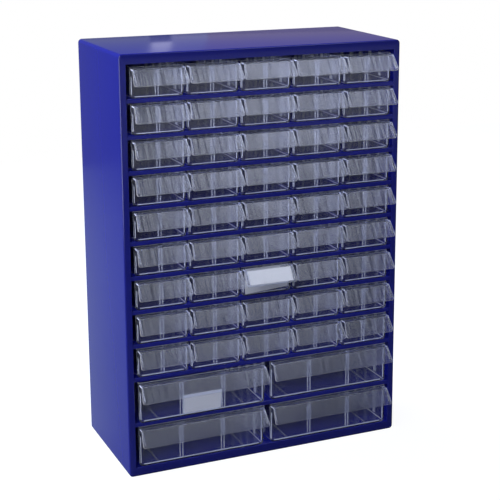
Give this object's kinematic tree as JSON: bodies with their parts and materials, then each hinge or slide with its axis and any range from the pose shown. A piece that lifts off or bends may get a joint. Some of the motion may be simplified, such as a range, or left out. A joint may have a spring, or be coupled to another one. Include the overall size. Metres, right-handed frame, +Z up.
{
  "type": "parts bin cabinet",
  "caption": "Sheet-steel cabinet with rows of clear sliding drawers, each with a sloping flap as its handle, for sorting small parts.",
  "frame": {"origin": "middle of the case's base, where it stands", "axes": "+Z up, +Y to the back, +X to the right as seen from the front; the drawers open towards -Y"},
  "size_m": [0.306, 0.1599, 0.435],
  "materials": {
    "blue_paint": "semi-gloss enamel on folded sheet steel",
    "clear_plastic": "clear moulded polystyrene, glossy",
    "card": "matte white paper card, blank"
  },
  "bodies": {
    "case": {"case_wrap": "blue_paint", "back_panel": "blue_paint", "small_drawer_shelves": "blue_paint", "large_drawer_shelf": "blue_paint", "base_shelf": "blue_paint"},
    "small_drawer_r1_c1": {"small_drawer_r1_c1": "clear_plastic"},
    "small_drawer_r1_c2": {"small_drawer_r1_c2": "clear_plastic"},
    "small_drawer_r1_c3": {"small_drawer_r1_c3": "clear_plastic"},
    "small_drawer_r1_c4": {"small_drawer_r1_c4": "clear_plastic"},
    "small_drawer_r1_c5": {"small_drawer_r1_c5": "clear_plastic"},
    "small_drawer_r2_c1": {"small_drawer_r2_c1": "clear_plastic"},
    "small_drawer_r2_c2": {"small_drawer_r2_c2": "clear_plastic"},
    "small_drawer_r2_c3": {"small_drawer_r2_c3": "clear_plastic"},
    "small_drawer_r2_c4": {"small_drawer_r2_c4": "clear_plastic"},
    "small_drawer_r2_c5": {"small_drawer_r2_c5": "clear_plastic"},
    "small_drawer_r3_c1": {"small_drawer_r3_c1": "clear_plastic"},
    "small_drawer_r3_c2": {"small_drawer_r3_c2": "clear_plastic"},
    "small_drawer_r3_c3": {"small_drawer_r3_c3": "clear_plastic"},
    "small_drawer_r3_c4": {"small_drawer_r3_c4": "clear_plastic"},
    "small_drawer_r3_c5": {"small_drawer_r3_c5": "clear_plastic"},
    "small_drawer_r4_c1": {"small_drawer_r4_c1": "clear_plastic"},
    "small_drawer_r4_c2": {"small_drawer_r4_c2": "clear_plastic"},
    "small_drawer_r4_c3": {"small_drawer_r4_c3": "clear_plastic"},
    "small_drawer_r4_c4": {"small_drawer_r4_c4": "clear_plastic"},
    "small_drawer_r4_c5": {"small_drawer_r4_c5": "clear_plastic"},
    "small_drawer_r5_c1": {"small_drawer_r5_c1": "clear_plastic"},
    "small_drawer_r5_c2": {"small_drawer_r5_c2": "clear_plastic"},
    "small_drawer_r5_c3": {"small_drawer_r5_c3": "clear_plastic"},
    "small_drawer_r5_c4": {"small_drawer_r5_c4": "clear_plastic"},
    "small_drawer_r5_c5": {"small_drawer_r5_c5": "clear_plastic"},
    "small_drawer_r6_c1": {"small_drawer_r6_c1": "clear_plastic"},
    "small_drawer_r6_c2": {"small_drawer_r6_c2": "clear_plastic"},
    "small_drawer_r6_c3": {"small_drawer_r6_c3": "clear_plastic"},
    "small_drawer_r6_c4": {"small_drawer_r6_c4": "clear_plastic"},
    "small_drawer_r6_c5": {"small_drawer_r6_c5": "clear_plastic"},
    "small_drawer_r7_c1": {"small_drawer_r7_c1": "clear_plastic"},
    "small_drawer_r7_c2": {"small_drawer_r7_c2": "clear_plastic"},
    "small_drawer_r7_c3": {"small_drawer_r7_c3": "clear_plastic", "small_label_card": "card"},
    "small_drawer_r7_c4": {"small_drawer_r7_c4": "clear_plastic"},
    "small_drawer_r7_c5": {"small_drawer_r7_c5": "clear_plastic"},
    "small_drawer_r8_c1": {"small_drawer_r8_c1": "clear_plastic"},
    "small_drawer_r8_c2": {"small_drawer_r8_c2": "clear_plastic"},
    "small_drawer_r8_c3": {"small_drawer_r8_c3": "clear_plastic"},
    "small_drawer_r8_c4": {"small_drawer_r8_c4": "clear_plastic"},
    "small_drawer_r8_c5": {"small_drawer_r8_c5": "clear_plastic"},
    "small_drawer_r9_c1": {"small_drawer_r9_c1": "clear_plastic"},
    "small_drawer_r9_c2": {"small_drawer_r9_c2": "clear_plastic"},
    "small_drawer_r9_c3": {"small_drawer_r9_c3": "clear_plastic"},
    "small_drawer_r9_c4": {"small_drawer_r9_c4": "clear_plastic"},
    "small_drawer_r9_c5": {"small_drawer_r9_c5": "clear_plastic"},
    "large_drawer_r10_left": {"large_drawer_r10_left": "clear_plastic", "large_label_card": "card"},
    "large_drawer_r10_right": {"large_drawer_r10_right": "clear_plastic"},
    "large_drawer_r11_left": {"large_drawer_r11_left": "clear_plastic"},
    "large_drawer_r11_right": {"large_drawer_r11_right": "clear_plastic"}
  },
  "joints": [
    {"name": "small_drawer_r1_c1_slide", "type": "slide", "parent": "case", "child": "small_drawer_r1_c1", "axis": [0, -1, 0], "range_m": [0, 0.1335]},
    {"name": "small_drawer_r1_c2_slide", "type": "slide", "parent": "case", "child": "small_drawer_r1_c2", "axis": [0, -1, 0], "range_m": [0, 0.1335]},
    {"name": "small_drawer_r1_c3_slide", "type": "slide", "parent": "case", "child": "small_drawer_r1_c3", "axis": [0, -1, 0], "range_m": [0, 0.1335]},
    {"name": "small_drawer_r1_c4_slide", "type": "slide", "parent": "case", "child": "small_drawer_r1_c4", "axis": [0, -1, 0], "range_m": [0, 0.1335]},
    {"name": "small_drawer_r1_c5_slide", "type": "slide", "parent": "case", "child": "small_drawer_r1_c5", "axis": [0, -1, 0], "range_m": [0, 0.1335]},
    {"name": "small_drawer_r2_c1_slide", "type": "slide", "parent": "case", "child": "small_drawer_r2_c1", "axis": [0, -1, 0], "range_m": [-0.002, 0.1315]},
    {"name": "small_drawer_r2_c2_slide", "type": "slide", "parent": "case", "child": "small_drawer_r2_c2", "axis": [0, -1, 0], "range_m": [0, 0.1335]},
    {"name": "small_drawer_r2_c3_slide", "type": "slide", "parent": "case", "child": "small_drawer_r2_c3", "axis": [0, -1, 0], "range_m": [0, 0.1335]},
    {"name": "small_drawer_r2_c4_slide", "type": "slide", "parent": "case", "child": "small_drawer_r2_c4", "axis": [0, -1, 0], "range_m": [0, 0.1335]},
    {"name": "small_drawer_r2_c5_slide", "type": "slide", "parent": "case", "child": "small_drawer_r2_c5", "axis": [0, -1, 0], "range_m": [0, 0.1335]},
    {"name": "small_drawer_r3_c1_slide", "type": "slide", "parent": "case", "child": "small_drawer_r3_c1", "axis": [0, -1, 0], "range_m": [0, 0.1335]},
    {"name": "small_drawer_r3_c2_slide", "type": "slide", "parent": "case", "child": "small_drawer_r3_c2", "axis": [0, -1, 0], "range_m": [0, 0.1335]},
    {"name": "small_drawer_r3_c3_slide", "type": "slide", "parent": "case", "child": "small_drawer_r3_c3", "axis": [0, -1, 0], "range_m": [0, 0.1335]},
    {"name": "small_drawer_r3_c4_slide", "type": "slide", "parent": "case", "child": "small_drawer_r3_c4", "axis": [0, -1, 0], "range_m": [0, 0.1335]},
    {"name": "small_drawer_r3_c5_slide", "type": "slide", "parent": "case", "child": "small_drawer_r3_c5", "axis": [0, -1, 0], "range_m": [0, 0.1335]},
    {"name": "small_drawer_r4_c1_slide", "type": "slide", "parent": "case", "child": "small_drawer_r4_c1", "axis": [0, -1, 0], "range_m": [0, 0.1335]},
    {"name": "small_drawer_r4_c2_slide", "type": "slide", "parent": "case", "child": "small_drawer_r4_c2", "axis": [0, -1, 0], "range_m": [0, 0.1335]},
    {"name": "small_drawer_r4_c3_slide", "type": "slide", "parent": "case", "child": "small_drawer_r4_c3", "axis": [0, -1, 0], "range_m": [0, 0.1335]},
    {"name": "small_drawer_r4_c4_slide", "type": "slide", "parent": "case", "child": "small_drawer_r4_c4", "axis": [0, -1, 0], "range_m": [0, 0.1335]},
    {"name": "small_drawer_r4_c5_slide", "type": "slide", "parent": "case", "child": "small_drawer_r4_c5", "axis": [0, -1, 0], "range_m": [0, 0.1335]},
    {"name": "small_drawer_r5_c1_slide", "type": "slide", "parent": "case", "child": "small_drawer_r5_c1", "axis": [0, -1, 0], "range_m": [0, 0.1335]},
    {"name": "small_drawer_r5_c2_slide", "type": "slide", "parent": "case", "child": "small_drawer_r5_c2", "axis": [0, -1, 0], "range_m": [0, 0.1335]},
    {"name": "small_drawer_r5_c3_slide", "type": "slide", "parent": "case", "child": "small_drawer_r5_c3", "axis": [0, -1, 0], "range_m": [0, 0.1335]},
    {"name": "small_drawer_r5_c4_slide", "type": "slide", "parent": "case", "child": "small_drawer_r5_c4", "axis": [0, -1, 0], "range_m": [0, 0.1335]},
    {"name": "small_drawer_r5_c5_slide", "type": "slide", "parent": "case", "child": "small_drawer_r5_c5", "axis": [0, -1, 0], "range_m": [0, 0.1335]},
    {"name": "small_drawer_r6_c1_slide", "type": "slide", "parent": "case", "child": "small_drawer_r6_c1", "axis": [0, -1, 0], "range_m": [0, 0.1335]},
    {"name": "small_drawer_r6_c2_slide", "type": "slide", "parent": "case", "child": "small_drawer_r6_c2", "axis": [0, -1, 0], "range_m": [0, 0.1335]},
    {"name": "small_drawer_r6_c3_slide", "type": "slide", "parent": "case", "child": "small_drawer_r6_c3", "axis": [0, -1, 0], "range_m": [0, 0.1335]},
    {"name": "small_drawer_r6_c4_slide", "type": "slide", "parent": "case", "child": "small_drawer_r6_c4", "axis": [0, -1, 0], "range_m": [0, 0.1335]},
    {"name": "small_drawer_r6_c5_slide", "type": "slide", "parent": "case", "child": "small_drawer_r6_c5", "axis": [0, -1, 0], "range_m": [0, 0.1335]},
    {"name": "small_drawer_r7_c1_slide", "type": "slide", "parent": "case", "child": "small_drawer_r7_c1", "axis": [0, -1, 0], "range_m": [0, 0.1335]},
    {"name": "small_drawer_r7_c2_slide", "type": "slide", "parent": "case", "child": "small_drawer_r7_c2", "axis": [0, -1, 0], "range_m": [0, 0.1335]},
    {"name": "small_drawer_r7_c3_slide", "type": "slide", "parent": "case", "child": "small_drawer_r7_c3", "axis": [0, -1, 0], "range_m": [0, 0.1335]},
    {"name": "small_drawer_r7_c4_slide", "type": "slide", "parent": "case", "child": "small_drawer_r7_c4", "axis": [0, -1, 0], "range_m": [0, 0.1335]},
    {"name": "small_drawer_r7_c5_slide", "type": "slide", "parent": "case", "child": "small_drawer_r7_c5", "axis": [0, -1, 0], "range_m": [0, 0.1335]},
    {"name": "small_drawer_r8_c1_slide", "type": "slide", "parent": "case", "child": "small_drawer_r8_c1", "axis": [0, -1, 0], "range_m": [0, 0.1335]},
    {"name": "small_drawer_r8_c2_slide", "type": "slide", "parent": "case", "child": "small_drawer_r8_c2", "axis": [0, -1, 0], "range_m": [0, 0.1335]},
    {"name": "small_drawer_r8_c3_slide", "type": "slide", "parent": "case", "child": "small_drawer_r8_c3", "axis": [0, -1, 0], "range_m": [0, 0.1335]},
    {"name": "small_drawer_r8_c4_slide", "type": "slide", "parent": "case", "child": "small_drawer_r8_c4", "axis": [0, -1, 0], "range_m": [0, 0.1335]},
    {"name": "small_drawer_r8_c5_slide", "type": "slide", "parent": "case", "child": "small_drawer_r8_c5", "axis": [0, -1, 0], "range_m": [0, 0.1335]},
    {"name": "small_drawer_r9_c1_slide", "type": "slide", "parent": "case", "child": "small_drawer_r9_c1", "axis": [0, -1, 0], "range_m": [0, 0.1335]},
    {"name": "small_drawer_r9_c2_slide", "type": "slide", "parent": "case", "child": "small_drawer_r9_c2", "axis": [0, -1, 0], "range_m": [0, 0.1335]},
    {"name": "small_drawer_r9_c3_slide", "type": "slide", "parent": "case", "child": "small_drawer_r9_c3", "axis": [0, -1, 0], "range_m": [0, 0.1335]},
    {"name": "small_drawer_r9_c4_slide", "type": "slide", "parent": "case", "child": "small_drawer_r9_c4", "axis": [0, -1, 0], "range_m": [0, 0.1335]},
    {"name": "small_drawer_r9_c5_slide", "type": "slide", "parent": "case", "child": "small_drawer_r9_c5", "axis": [0, -1, 0], "range_m": [0, 0.1335]},
    {"name": "large_drawer_r10_left_slide", "type": "slide", "parent": "case", "child": "large_drawer_r10_left", "axis": [0, -1, 0], "range_m": [-0.003, 0.1305]},
    {"name": "large_drawer_r10_right_slide", "type": "slide", "parent": "case", "child": "large_drawer_r10_right", "axis": [0, -1, 0], "range_m": [0, 0.1335]},
    {"name": "large_drawer_r11_left_slide", "type": "slide", "parent": "case", "child": "large_drawer_r11_left", "axis": [0, -1, 0], "range_m": [0, 0.1335]},
    {"name": "large_drawer_r11_right_slide", "type": "slide", "parent": "case", "child": "large_drawer_r11_right", "axis": [0, -1, 0], "range_m": [0, 0.1335]}
  ]
}
